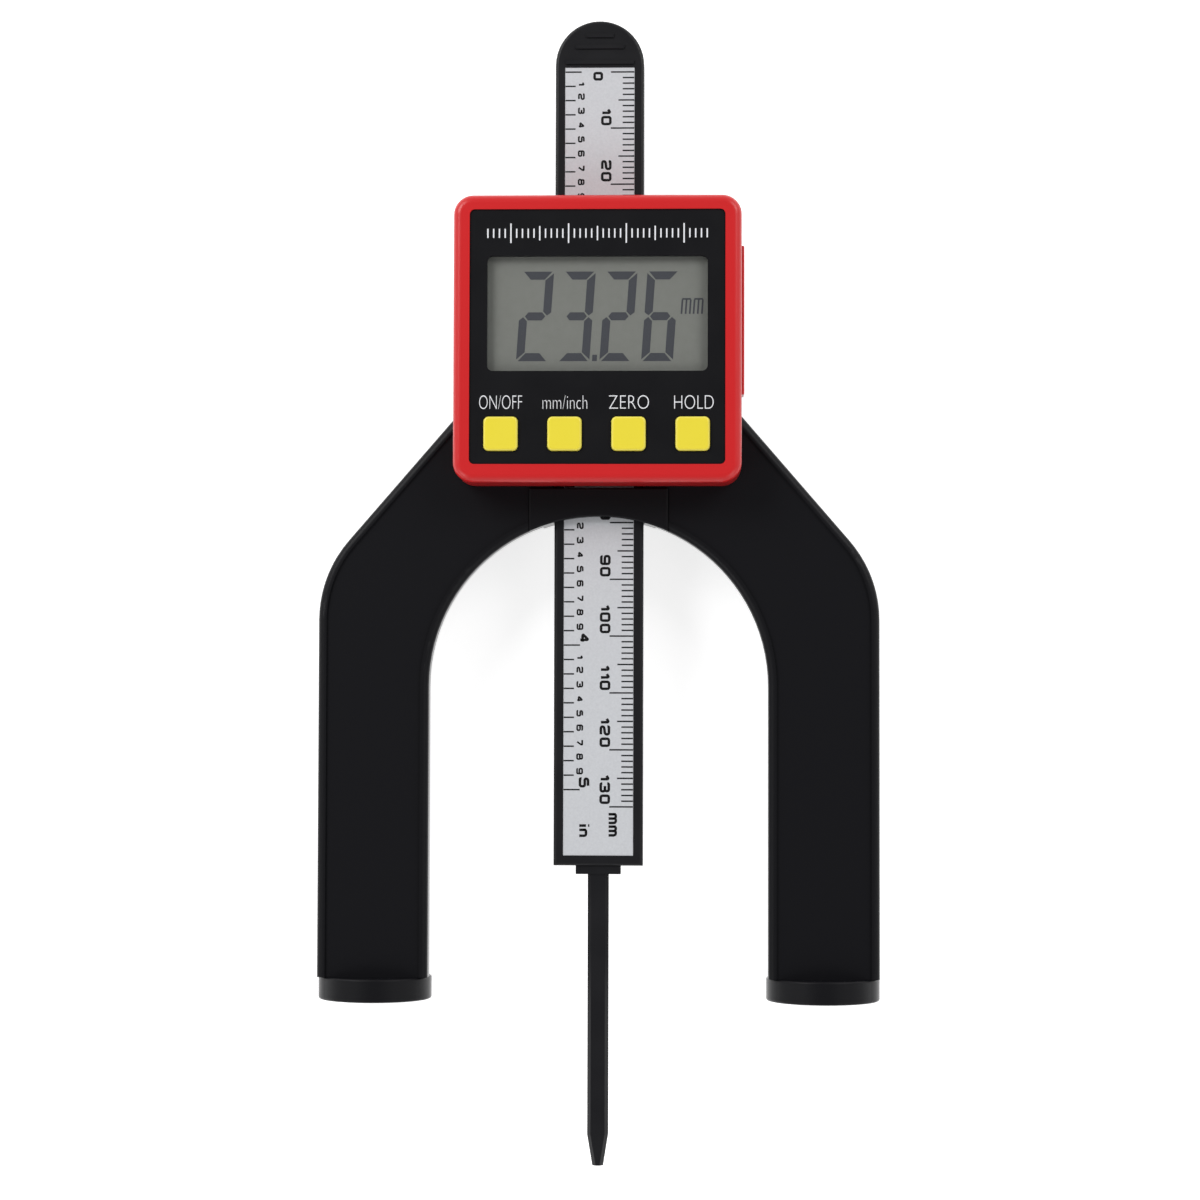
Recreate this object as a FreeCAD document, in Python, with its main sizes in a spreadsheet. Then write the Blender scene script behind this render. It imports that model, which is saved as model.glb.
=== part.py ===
import FreeCAD, Part
import os
import re
import Sketcher

# Digital depth gauge lying on its back, in millimetres. X runs to the right across the feet, Y runs along the
# beam towards its round head, and Z points away from the rear cover towards the display. The origin lies under
# the middle of the whole length, at the height of the feet's lowest line.

os.makedirs("parts", exist_ok=True)
doc = FreeCAD.newDocument("depth_gauge")

# Driving sizes
SIZES = {
    # beam with its scale, and the probe
    "beam_width": 15.7,
    "beam_thickness": 3.8,
    "beam_edge": 0.6,
    "head_to_plate": 8.4,
    "plate_length": 139.3,
    "plate_to_end": 1.8,
    "plate_width": 12.3,
    "plate_thickness": 0.3,
    "plate_sunk": 0.1,
    "stator_thickness": 0.6,
    "ridge_width": 0.7,
    "ridge_height": 0.3,
    "ridge_long": 12,
    "ridge_middle": 8.6,
    "ridge_short": 4.8,
    "ridge_first": 0.95,
    "ridge_second": 3.7,
    "ridge_third": 5.7,
    "probe_length": 52.55,
    "probe_width": 3.67,
    "probe_depth": 3,
    "probe_edge": 0.6,
    "probe_out": 28.85,
    "taper_length": 5.5,
    "tip_width": 1.9,
    "tip_depth": 1.5,
    "collar_width": 7.9,
    "collar_depth": 3.4,
    "collar_height": 1.5,
    "tang_length": 9,
    "tang_width": 3,
    "tang_depth": 1.4,
    # feet
    "foot_diameter": 20,
    "foot_height": 4.1,
    "foot_edge": 0.4,
    "magnet_diameter": 10,
    "magnet_height": 2,
    "peg_diameter": 2.4,
    "peg_length": 3.2,
    "peg_spacing": 13.2,
    # frame
    "frame_width": 98.6,
    "frame_thickness": 12,
    "leg_width": 19.5,
    "arch_rise": 85,
    "shoulder_height": 74.8,
    "shoulder_slope": 1.157,
    "shoulder_radius": 21.4,
    "neck_inset": 1.5,
    "neck_short": 1,
    "neck_corner": 6.6,
    "neck_join": 5,
    "frame_wall": 2,
    "face_wall": 2.6,
    "cover_depth": 8,
    "cover_inset": 0.6,
    "cover_floor": 2.6,
    "cover_wall": 3,
    "cover_round": 5,
    "rim_width": 1.5,
    "rim_step": 0.35,
    "rim_edge": 1.2,
    "face_to_beam": 1.7,
    "trough_wall": 2,
    "side_play": 0.08,
    "flat_play": 0.1,
    # bridge over the beam at the top of the arch
    "bridge_width": 24.4,
    "bridge_thickness": 1.8,
    "bridge_gap": 0.35,
    "bridge_height": 5,
    "bridge_edge": 0.25,
    "bridge_peg": 1.8,
    "bridge_peg_length": 0.9,
    "bridge_peg_spacing": 20.6,
    # bronze leaf that brakes the beam
    "leaf_length": 18,
    "leaf_height": 2.6,
    "leaf_thickness": 0.2,
    "leaf_bow": 0.5,
    # screws
    "screw_shank": 2,
    "screw_head": 3.8,
    "screw_head_height": 1.1,
    "boss_diameter": 6.2,
    "frame_screw_length": 10.4,
    "case_screw_length": 12.1,
    "case_screw_sunk": 2.9,
    "slot_width": 0.5,
    "slot_length": 2.2,
    "slot_depth": 0.6,
    "hole_play": 0.1,
    "leg_screw_low": 12,
    "leg_screw_high": 58,
    "shoulder_screw_x": 28,
    "shoulder_screw_high": 82,
    # display case
    "case_width": 50,
    "case_height": 50,
    "case_depth": 9.5,
    "case_corner": 3.4,
    "case_front_edge": 1.4,
    "case_wall": 2,
    "case_front_wall": 2.5,
    "post_size": 5.3,
    "post_height": 6,
    "case_screw_inset": 4.6,
    "case_screw_upper_x": 14,
    "case_screw_upper_inset": 5.6,
    # face plate, window and display
    "bezel_width": 2.85,
    "bezel_height": 2.86,
    "face_raise": 0.23,
    "face_corner": 0.9,
    "face_thickness": 1.2,
    "face_sunk": 0.3,
    "face_ledge": 1.2,
    "window_margin": 3.05,
    "window_above": 8.1,
    "window_below": 16.18,
    "window_corner": 1,
    "window_sunk": 0.3,
    "window_thickness": 1.2,
    "lcd_margin": 0.7,
    "lcd_overlap": 1.7,
    "lcd_thickness": 1.8,
    "lcd_raise": 0.73,
    "lcd_gap": 0.05,
    "holder_side": 2.7,
    "holder_wall": 1,
    "holder_depth": 2.7,
    "holder_lip": 3.2,
    "zebra_margin": 2.3,
    "zebra_width": 1.6,
    "zebra_inset": 0.3,
    "board_margin": 6.5,
    "board_drop": 0.5,
    "board_thickness": 0.8,
    "board_gap": 0.3,
    "chip_size": 7,
    "chip_height": 1,
    "chip_inset": 6.5,
    # buttons
    "button_size": 5.94,
    "button_corner": 0.9,
    "button_edge": 0.45,
    "button_side": 8.4,
    "button_shift": -0.08,
    "button_low": 8.34,
    "button_raise": 0.7,
    "button_flange": 6.8,
    "button_flange_thickness": 0.8,
    "button_travel": 0.5,
    "button_play": 0.1,
    "stem_diameter": 2.4,
    "dome_diameter": 3,
    "dome_height": 0.6,
    # battery drawer
    "door_length": 26,
    "door_height": 4.7,
    "door_proud": 0.5,
    "door_lift": 0.2,
    "door_play": 0.15,
    "cell_diameter": 20,
    "cell_height": 3.2,
    "cell_play": 0.15,
    "tray_wall": 1,
    "tray_floor": 0.4,
    "tray_slot": 8,
    "tray_drop": 0.5,
    "tray_gap": 0.55,
    "contact_width": 5,
    "contact_thickness": 0.2,
    "contact_reach": 9,
}

# Places and sums worked out from the sizes
PLACES = {
    "beam_length": "head_to_plate + plate_length + plate_to_end",
    "tip_y": "-(beam_length + probe_length) / 2",
    "beam_end_y": "tip_y + probe_length",
    "beam_head_y": "beam_end_y + beam_length",
    "plate_top_y": "beam_head_y - head_to_plate",
    "sole_y": "tip_y + probe_out",
    "seam_y": "sole_y + foot_height",
    "foot_x": "(frame_width - leg_width) / 2",
    "foot_z": "foot_diameter / 2",
    "arch_radius": "frame_width / 2 - leg_width",
    "arch_top_y": "sole_y + arch_rise",
    "arch_y": "arch_top_y - arch_radius",
    "shoulder_y": "sole_y + shoulder_height",
    "case_low_y": "arch_top_y + bridge_height + bridge_gap",
    "case_y": "case_low_y + case_height / 2",
    "case_high_y": "case_y + case_height / 2",
    "neck_top_y": "case_high_y - neck_short",
    "neck_width": "case_width - 2 * neck_inset",
    "neck_join_y": "shoulder_y + shoulder_slope * (frame_width - neck_width) / 2",
    "back_z": "foot_z - frame_thickness / 2",
    "split_z": "back_z + cover_depth",
    "floor_z": "back_z + cover_floor",
    "face_z": "back_z + frame_thickness",
    "wall_z": "face_z - face_wall",
    "beam_top_z": "face_z - face_to_beam",
    "beam_back_z": "beam_top_z - beam_thickness",
    "channel_z": "beam_back_z - flat_play",
    "channel_width": "beam_width + 2 * side_play",
    "trough_z": "channel_z - trough_wall",
    "trough_width": "channel_width + 2 * trough_wall",
    "bridge_top_y": "case_low_y - bridge_gap",
    "bridge_z": "beam_top_z + flat_play",
    "bridge_y": "(arch_top_y + bridge_top_y) / 2",
    "probe_z": "beam_back_z + (beam_thickness - plate_sunk - plate_thickness - stator_thickness) / 2",
    "board_width": "case_width - 2 * board_margin",
    "board_height": "case_height - 2 * board_margin",
    "chip_x": "board_width / 2 - chip_inset",
    "board_z": "beam_top_z + board_gap",
    "board_top_z": "board_z + board_thickness",
    "board_y": "case_y - board_drop",
    "front_z": "face_z + case_depth",
    "inner_z": "front_z - case_front_wall",
    "face_top_z": "front_z - face_sunk",
    "face_back_z": "face_top_z - face_thickness",
    "face_width": "case_width - 2 * bezel_width",
    "face_height": "case_height - 2 * bezel_height",
    "face_y": "case_y + face_raise",
    "window_width": "face_width - 2 * window_margin",
    "window_height": "face_height - window_above - window_below",
    "window_y": "face_y + (window_below - window_above) / 2",
    "window_back_z": "face_top_z - window_sunk - window_thickness",
    "lcd_width": "window_width + 2 * lcd_margin",
    "lcd_height": "window_height + 2 * lcd_overlap",
    "lcd_y": "window_y + lcd_raise",
    "lcd_back_z": "window_back_z - lcd_gap - lcd_thickness",
    "holder_width": "lcd_width + 2 * holder_side",
    "zebra_length": "lcd_width - 2 * zebra_margin",
    "holder_z": "inner_z - holder_depth",
    "zebra_y": "lcd_y + lcd_height / 2 - zebra_inset - zebra_width / 2",
    "button_pitch": "(case_width / 2 - button_side) * 2 / 3",
    "button_y": "case_low_y + button_low",
    "flange_top_z": "face_back_z - button_play",
    "stem_z": "board_top_z + dome_height + button_travel + button_play / 2",
    "drawer_z": "face_z + door_lift",
    "tray_y": "zebra_y - zebra_width / 2 - tray_gap - tray_width / 2",
    "drawer_y": "tray_y + tray_drop",
    "cell_z": "drawer_z + tray_floor",
    "cell_x": "case_width / 2 - case_wall - tray_wall / 2 - cell_diameter / 2",
    "tray_inner_x": "cell_x - cell_diameter / 2 - cell_play - tray_wall",
    "tray_outer_x": "case_width / 2 - case_wall",
    "tray_height": "tray_floor + cell_height",
    "tray_width": "cell_diameter + 2 * cell_play + 2 * tray_wall",
    "case_screw_x": "case_width / 2 - case_screw_inset",
    "case_post_rise": "case_height / 2 - case_screw_inset",
    "case_screw_upper_rise": "case_height / 2 - case_screw_upper_inset",
}

sheet = doc.addObject("Spreadsheet::Sheet", "Sizes")
for row, (size_name, size_number) in enumerate(SIZES.items(), start=1):
    sheet.set(f"A{row}", size_name)
    sheet.set(f"B{row}", str(size_number))
    sheet.setAlias(f"B{row}", size_name)
doc.recompute()


# Ways to write formulas and to draw
def formula(text):
    """Unfold the names of places, and point the names of sizes at their cells."""

    def unfold(match):
        word = match.group(0)
        if word in PLACES:
            return "(" + formula(PLACES[word]) + ")"
        return "Sizes." + word if word in SIZES else word

    return re.sub(r"[a-z][a-z_0-9]*", unfold, str(text))


def number(text):
    """The value of a formula."""
    return float(sheet.evalExpression(formula(text)))


def bind(item, **formulas):
    """Tie properties of an object to the sheet, with a dot in a name written as two underscores."""
    for name, text in formulas.items():
        item.setExpression(name.replace("__", "."), formula(text))


def make_body(name):
    body = doc.addObject("PartDesign::Body", name)
    body.Label = name
    return body


def start_sketch(body, plane, x, y, z):
    """A sketch on one of the body's own planes, with its middle at a place in the gauge."""
    sketch = body.newObject("Sketcher::SketchObject", "Sketch")
    face = next(item for item in body.Origin.OriginFeatures if item.Role == plane + "_Plane")
    sketch.AttachmentSupport = [(face, "")]
    sketch.MapMode = "FlatFace"
    local = {"XY": (x, y, z), "XZ": (x, z, f"-({y})"), "YZ": (y, z, x)}[plane]
    for axis, place in zip("xyz", local):
        sketch.setExpression("AttachmentOffset.Base." + axis, formula(place))
    return sketch


def close_lines(sketch, corners):
    """Straight lines from corner to corner and back to the first."""
    points = [FreeCAD.Vector(x, y, 0) for x, y in corners]
    for here, there in zip(points, points[1:] + points[:1]):
        sketch.addGeometry(Part.LineSegment(here, there), False)
    for line in range(len(points)):
        sketch.addConstraint(Sketcher.Constraint("Coincident", line, 2, (line + 1) % len(points), 1))


def hold(sketch, text, *constraint):
    """A constraint whose value follows a formula."""
    index = sketch.addConstraint(Sketcher.Constraint(*constraint, number(text)))
    sketch.setExpression(f"Constraints[{index}]", formula(text))


def rectangle(body, plane, x, y, z, width, height):
    """A rectangle about a place, in the plane's own two directions."""
    sketch = start_sketch(body, plane, x, y, z)
    half_w = number(width) / 2
    half_h = number(height) / 2
    close_lines(sketch, [(-half_w, -half_h), (half_w, -half_h), (half_w, half_h), (-half_w, half_h)])
    for line, direction in enumerate(("Horizontal", "Vertical", "Horizontal", "Vertical")):
        sketch.addConstraint(Sketcher.Constraint(direction, line))
    sketch.addConstraint(Sketcher.Constraint("Symmetric", 0, 1, 2, 1, -1, 1))
    hold(sketch, width, "DistanceX", 0, 1, 0, 2)
    hold(sketch, height, "DistanceY", 1, 1, 1, 2)
    return sketch


def circles(body, plane, x, y, z, radius, spots):
    """Like circles at spots measured from a place, in the plane's own two directions."""
    sketch = start_sketch(body, plane, x, y, z)
    for index, (across, up) in enumerate(spots):
        middle = FreeCAD.Vector(number(across), number(up), 0)
        sketch.addGeometry(Part.Circle(middle, FreeCAD.Vector(0, 0, 1), number(radius)), False)
        hold(sketch, across, "DistanceX", -1, 1, index, 3)
        hold(sketch, up, "DistanceY", -1, 1, index, 3)
        hold(sketch, radius, "Radius", index)
    return sketch


def circle(body, plane, x, y, z, radius):
    """One circle about a place."""
    sketch = start_sketch(body, plane, x, y, z)
    middle = FreeCAD.Vector(0, 0, 0)
    sketch.addGeometry(Part.Circle(middle, FreeCAD.Vector(0, 0, 1), number(radius)), False)
    sketch.addConstraint(Sketcher.Constraint("Coincident", 0, 3, -1, 1))
    hold(sketch, radius, "Radius", 0)
    return sketch


def polygon(body, plane, x, y, z, corners):
    """A closed outline whose corners are formulas, measured from a place."""
    sketch = start_sketch(body, plane, x, y, z)
    close_lines(sketch, [(number(across), number(up)) for across, up in corners])
    for line, (across, up) in enumerate(corners):
        hold(sketch, across, "DistanceX", -1, 1, line, 1)
        hold(sketch, up, "DistanceY", -1, 1, line, 1)
    return sketch


def arch(body, z, radius, below):
    """The opening between the legs: a half circle on a rectangle that reaches a distance below its middle."""
    sketch = start_sketch(body, "XY", 0, "arch_y", z)
    half = number(radius)
    low = -number(below)
    points = [FreeCAD.Vector(x, y, 0) for x, y in ((half, 0), (-half, 0), (-half, low), (half, low))]
    round_top = Part.Circle(FreeCAD.Vector(0, 0, 0), FreeCAD.Vector(0, 0, 1), half)
    sketch.addGeometry(Part.ArcOfCircle(round_top, 0, 3.141592653589793), False)
    for here, there in zip(points[1:], points[2:] + points[:1]):
        sketch.addGeometry(Part.LineSegment(here, there), False)
    for first in range(4):
        sketch.addConstraint(Sketcher.Constraint("Coincident", first, 2, (first + 1) % 4, 1))
    sketch.addConstraint(Sketcher.Constraint("Coincident", 0, 3, -1, 1))
    sketch.addConstraint(Sketcher.Constraint("PointOnObject", 0, 1, -1))
    sketch.addConstraint(Sketcher.Constraint("PointOnObject", 0, 2, -1))
    sketch.addConstraint(Sketcher.Constraint("Vertical", 1))
    sketch.addConstraint(Sketcher.Constraint("Horizontal", 2))
    sketch.addConstraint(Sketcher.Constraint("Vertical", 3))
    hold(sketch, radius, "Radius", 0)
    hold(sketch, below, "DistanceY", 2, 1, -1, 1)
    return sketch


def pad(body, sketch, length):
    """Raise a sketch along its plane's normal."""
    feature = body.newObject("PartDesign::Pad", "Pad")
    feature.Profile = sketch
    bind(feature, Length=length)
    doc.recompute()
    return feature


def pocket(body, sketch, depth):
    """Cut a sketch against its plane's normal."""
    before = body.Shape.Volume
    feature = body.newObject("PartDesign::Pocket", "Pocket")
    feature.Profile = sketch
    bind(feature, Length=depth)
    doc.recompute()
    if body.Shape.Volume > before - 1e-6:
        raise ValueError(f"a pocket of {body.Label} cuts nothing")
    return feature


def dress(body, kind, size_property, size, chosen):
    """Fillet or chamfer the edges that a test chooses."""
    edges = [f"Edge{index}" for index, edge in enumerate(body.Shape.Edges, start=1) if chosen(edge)]
    if not edges:
        raise ValueError(f"{body.Label} has no edge to dress")
    base = body.Tip
    feature = body.newObject("PartDesign::" + kind, kind)
    feature.Base = (base, edges)
    bind(feature, **{size_property: size})
    doc.recompute()
    return feature


def fillet(body, radius, chosen):
    return dress(body, "Fillet", "Radius", radius, chosen)


def chamfer(body, size, chosen):
    return dress(body, "Chamfer", "Size", size, chosen)


def upright_near(*spots):
    """Chooses upright straight edges that stand at given places."""
    places = [(number(x), number(y)) for x, y in spots]

    def chosen(edge):
        box = edge.BoundBox
        if box.ZLength < 0.05 or box.XLength > 0.01 or box.YLength > 0.01:
            return False
        return any(abs(box.Center.x - x) < 0.05 and abs(box.Center.y - y) < 0.05 for x, y in places)

    return chosen


def corners_of(x, y, width, height):
    """The four corners of a rectangle about a place, as formulas."""
    return [
        (f"{x} + {side} * ({width}) / 2", f"{y} + {end} * ({height}) / 2")
        for side in (-1, 1)
        for end in (-1, 1)
    ]


def flat_at(level):
    """Chooses edges that lie flat at one height."""
    height = number(level)

    def chosen(edge):
        box = edge.BoundBox
        return box.ZLength < 0.01 and abs(box.Center.z - height) < 0.01

    return chosen


def block(name, x, y, z, width, height, depth):
    """A plain box centred across and along, and standing on its height z."""
    box = doc.addObject("Part::Box", name)
    box.Label = name
    bind(box, Length=width, Width=height, Height=depth)
    bind(
        box,
        Placement__Base__x=f"{x} - ({width}) / 2",
        Placement__Base__y=f"{y} - ({height}) / 2",
        Placement__Base__z=z,
    )
    return box


# Frame
def outline(inset, end=None):
    """Corners of the frame's front view, moved inwards by a distance, with the legs ending at the feet or higher."""
    lower = f"({inset}) * tan(atan(1 / shoulder_slope) / 2)"
    leg = f"frame_width / 2 - ({inset})"
    neck = f"neck_width / 2 - ({inset})"
    right = [
        (leg, end or f"seam_y + ({inset})"),
        (leg, f"shoulder_y - {lower}"),
        (neck, f"neck_join_y - {lower}"),
        (neck, f"neck_top_y - ({inset})"),
    ]
    left = [(f"-({x})", y) for x, y in reversed(right)]
    return right + left


def shoulders(inset):
    """Chooses the two upright edges at the frame's shoulders."""
    spot = outline(inset)[1]
    return upright_near(spot, (f"-({spot[0]})", spot[1]))


def neck_corners(inset):
    """Chooses the two upright edges at the top of the frame."""
    spot = outline(inset)[3]
    return upright_near(spot, (f"-({spot[0]})", spot[1]))


def neck_joins(inset):
    """Chooses the two upright edges where the slopes meet the neck."""
    spot = outline(inset)[2]
    return upright_near(spot, (f"-({spot[0]})", spot[1]))


def rear_edges(edge):
    """Chooses the edges round the back of the frame, without those at the feet."""
    box = edge.BoundBox
    at_back = box.ZLength < 0.01 and abs(box.Center.z - number("back_z")) < 0.01
    return at_back and box.YMax > number("seam_y") + 0.01


def outer_face_edges(edge):
    """Chooses the frame's edges round its rim, on the front face."""
    box = edge.BoundBox
    if box.ZLength > 0.01 or abs(box.Center.z - number("face_z")) > 0.01:
        return False
    middle = edge.valueAt((edge.FirstParameter + edge.LastParameter) / 2)
    across = abs(middle.x)
    near_side = abs(across - number("frame_width / 2")) < 0.01 and box.YLength > 1
    in_arch = middle.sub(FreeCAD.Vector(0, number("arch_y"), middle.z)).Length - number("arch_radius")
    leg_inside = abs(across - number("arch_radius")) < 0.01 and middle.y < number("arch_y")
    return near_side or (abs(in_arch) < 0.01 and across > number("bridge_width / 2")) or leg_inside


FRAME_SCREWS = [
    (f"{side} * {across}", f"sole_y + {up}")
    for side in (-1, 1)
    for across, up in (
        ("foot_x", "leg_screw_low"),
        ("foot_x", "leg_screw_high"),
        ("shoulder_screw_x", "shoulder_screw_high"),
    )
]
CASE_SCREWS = [
    (f"{side} * {across}", f"case_y + {rise}")
    for side in (-1, 1)
    for across, rise in (("case_screw_x", "-1 * case_post_rise"), ("case_screw_upper_x", "case_screw_upper_rise"))
]
CASE_POSTS = [
    (f"{side} * {across}", f"case_y + {end} * case_post_rise")
    for side in (-1, 1)
    for across, end in (("case_screw_x", -1), ("case_screw_upper_x", 1))
]
BRIDGE_PEGS = [(f"{side} * bridge_peg_spacing / 2", "0") for side in (-1, 1)]
FOOT_PEGS = [
    (f"{side} * foot_x + {end} * peg_spacing / 2", "0") for side in (-1, 1) for end in (-1, 1)
]


def frame_front():
    """The moulded front of the frame, hollow from behind, with the beam's channel down its middle."""
    body = make_body("frame_front")
    pad(body, polygon(body, "XY", 0, 0, "split_z", outline("0")), "frame_thickness - cover_depth")
    fillet(body, "shoulder_radius", shoulders("0"))
    fillet(body, "neck_corner", neck_corners("0"))
    hollow = polygon(body, "XY", 0, 0, "wall_z", outline("frame_wall"))
    pocket(body, hollow, "wall_z - split_z")
    fillet(body, "shoulder_radius - frame_wall", shoulders("frame_wall"))
    face = polygon(body, "XY", 0, 0, "face_z", outline("rim_width", "seam_y - rim_width"))
    pocket(body, face, "rim_step")
    fillet(body, "shoulder_radius - rim_width", shoulders("rim_width"))
    # the rim, the wall round the arch and the seat of the display case
    pad(body, arch(body, "split_z", "arch_radius + frame_wall", "arch_y - seam_y"), "wall_z - split_z")
    pad(body, arch(body, "face_z - rim_step", "arch_radius + rim_width", "arch_y - seam_y"), "rim_step")
    seat_middle = "(case_low_y + neck_top_y - rim_width) / 2 + bridge_gap"
    seat_height = "neck_top_y - rim_width - case_low_y"
    seat = rectangle(body, "XY", 0, seat_middle, "face_z - rim_step", "neck_width - 2 * rim_width", seat_height)
    pad(body, seat, "rim_step")
    # the trough that carries the beam, and the screw bosses
    trough_low = "arch_y + arch_radius * 0.9"
    trough_middle = f"({trough_low} + neck_top_y) / 2"
    trough = rectangle(body, "XY", 0, trough_middle, "trough_z", "trough_width", f"neck_top_y - ({trough_low})")
    pad(body, trough, "wall_z - trough_z")
    bosses = circles(body, "XY", 0, 0, "split_z", "boss_diameter / 2", FRAME_SCREWS + CASE_SCREWS)
    pad(body, bosses, "wall_z - split_z")
    pocket(body, arch(body, "face_z", "arch_radius", "arch_y - sole_y"), "frame_thickness")
    # the channel, the bridge's seat, the board's seat and the leaf's pocket
    channel = rectangle(body, "XY", 0, trough_middle, "face_z", "channel_width", "2 * arch_radius + case_height")
    pocket(body, channel, "face_z - channel_z")
    bridge_middle = "(bridge_top_y + hole_play + arch_y) / 2"
    bridge_seat = rectangle(
        body, "XY", 0, bridge_middle, "face_z", "bridge_width + 2 * hole_play", "bridge_top_y + hole_play - arch_y"
    )
    pocket(body, bridge_seat, "face_z - bridge_z")
    board_seat = rectangle(
        body, "XY", 0, "board_y", "face_z", "board_width + 2 * hole_play", "board_height + 2 * hole_play"
    )
    pocket(body, board_seat, "face_z - board_z")
    leaf_pocket = rectangle(
        body,
        "XY",
        "-(channel_width / 2)",
        "case_y",
        "channel_z + (beam_thickness + leaf_height) / 2 + flat_play",
        "2 * (leaf_bow + leaf_thickness)",
        "leaf_length + 1",
    )
    pocket(body, leaf_pocket, "leaf_height + 2 * flat_play")
    peg_hole = "bridge_peg / 2 + hole_play / 2"
    pocket(body, circles(body, "XY", 0, "bridge_y", "bridge_z", peg_hole, BRIDGE_PEGS), "bridge_peg_length + hole_play")
    # holes for the screws
    tapped = "screw_shank / 2 + hole_play / 2"
    tapped_end = "back_z + frame_screw_length + hole_play"
    pocket(body, circles(body, "XY", 0, 0, tapped_end, tapped, FRAME_SCREWS), f"{tapped_end} - split_z")
    clear = "screw_shank / 2 + hole_play"
    pocket(body, circles(body, "XY", 0, 0, "face_z", clear, CASE_SCREWS), "frame_thickness")
    fillet(body, "rim_edge", outer_face_edges)
    return body


def frame_back():
    """The deep rear cover of the frame with its rounded back, and sunk holes for ten screws."""
    body = make_body("frame_back")
    pad(body, polygon(body, "XY", 0, 0, "back_z", outline("cover_inset", "seam_y")), "cover_depth")
    fillet(body, "shoulder_radius - cover_inset", shoulders("cover_inset"))
    fillet(body, "neck_corner - cover_inset", neck_corners("cover_inset"))
    fillet(body, "neck_join", neck_joins("cover_inset"))
    pocket(body, arch(body, "split_z", "arch_radius + cover_inset", "arch_y - sole_y"), "2 * cover_depth")
    fillet(body, "cover_round", rear_edges)
    # the hollow with the wall round the arch, and the bosses of the screws
    hollow = "cover_inset + cover_wall"
    leg_end = "seam_y + peg_length + 1"
    pocket(body, polygon(body, "XY", 0, 0, "split_z", outline(hollow, leg_end)), "split_z - floor_z")
    fillet(body, f"shoulder_radius - ({hollow})", shoulders(hollow))
    pad(body, arch(body, "floor_z", f"arch_radius + {hollow}", f"arch_y - ({leg_end})"), "split_z - floor_z")
    pocket(body, arch(body, "split_z", "arch_radius + cover_inset", "arch_y - sole_y"), "split_z - floor_z")
    screws = FRAME_SCREWS + CASE_SCREWS
    pad(body, circles(body, "XY", 0, 0, "floor_z", "boss_diameter / 2", screws), "split_z - floor_z")
    trough = rectangle(
        body, "XY", 0, "case_y", "split_z", "trough_width + 2 * hole_play", "2 * (case_y - arch_y)"
    )
    pocket(body, trough, "split_z - trough_z + hole_play")
    clear = "screw_shank / 2 + hole_play"
    pocket(body, circles(body, "XY", 0, 0, "split_z", clear, screws), "2 * cover_depth")
    sunk = "screw_head / 2 + hole_play"
    for seat, spots in (("screw_head_height", FRAME_SCREWS), ("case_screw_sunk + screw_head_height", CASE_SCREWS)):
        pocket(body, circles(body, "XY", 0, 0, f"back_z + {seat}", sunk, spots), seat)
    foot_hole = "peg_diameter / 2 + hole_play / 2"
    pocket(body, circles(body, "XZ", 0, "seam_y", "foot_z", foot_hole, FOOT_PEGS), "peg_length + hole_play")
    return body


def cross_screw(x, y, z, length):
    """A screw driven from behind, with a cross in its head."""
    parts = []
    for radius, reach in (("screw_head / 2", "screw_head_height"), ("screw_shank / 2", length)):
        rod = doc.addObject("Part::Cylinder", "rod")
        bind(rod, Radius=radius, Height=reach, Placement__Base__x=x, Placement__Base__y=y, Placement__Base__z=z)
        parts.append(rod)
    whole = doc.addObject("Part::MultiFuse", "screw")
    whole.Shapes = parts
    bars = [
        block("bar", x, y, z, across, along, "slot_depth")
        for across, along in (("slot_length", "slot_width"), ("slot_width", "slot_length"))
    ]
    cross = doc.addObject("Part::MultiFuse", "cross")
    cross.Shapes = bars
    cut = doc.addObject("Part::Cut", "cut_screw")
    cut.Base = whole
    cut.Tool = cross
    return cut


def group(name, items):
    """Like pieces under one name."""
    together = doc.addObject("Part::Compound", name)
    together.Label = name
    together.Links = items
    return together


def foot_cap(name, side):
    """A round foot with two pegs, and a pocket for its magnet on the side of the leg."""
    body = make_body(name)
    across = f"{side} * foot_x"
    pad(body, circle(body, "XZ", across, "seam_y", "foot_z", "foot_diameter / 2"), "foot_height")
    wide = number("foot_diameter") - 1
    fillet(body, "foot_edge", lambda edge: edge.BoundBox.XLength > wide and edge.BoundBox.YLength < 0.01)
    hole = circle(
        body, "XZ", across, "seam_y - magnet_height - hole_play", "foot_z", "magnet_diameter / 2 + hole_play"
    )
    pocket(body, hole, "magnet_height + hole_play")
    for end in (-1, 1):
        peg = circle(
            body, "XZ", f"{across} + {end} * peg_spacing / 2", "seam_y + peg_length", "foot_z", "peg_diameter / 2"
        )
        pad(body, peg, "peg_length")
    return body


def foot_magnet(name, side):
    """The disc magnet in a foot."""
    disc = doc.addObject("Part::Cylinder", name)
    disc.Label = name
    disc.Placement.Rotation = FreeCAD.Rotation(FreeCAD.Vector(1, 0, 0), -90)
    bind(
        disc,
        Radius="magnet_diameter / 2",
        Height="magnet_height",
        Placement__Base__x=f"{side} * foot_x",
        Placement__Base__y="seam_y - magnet_height",
        Placement__Base__z="foot_z",
    )
    return disc


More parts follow.
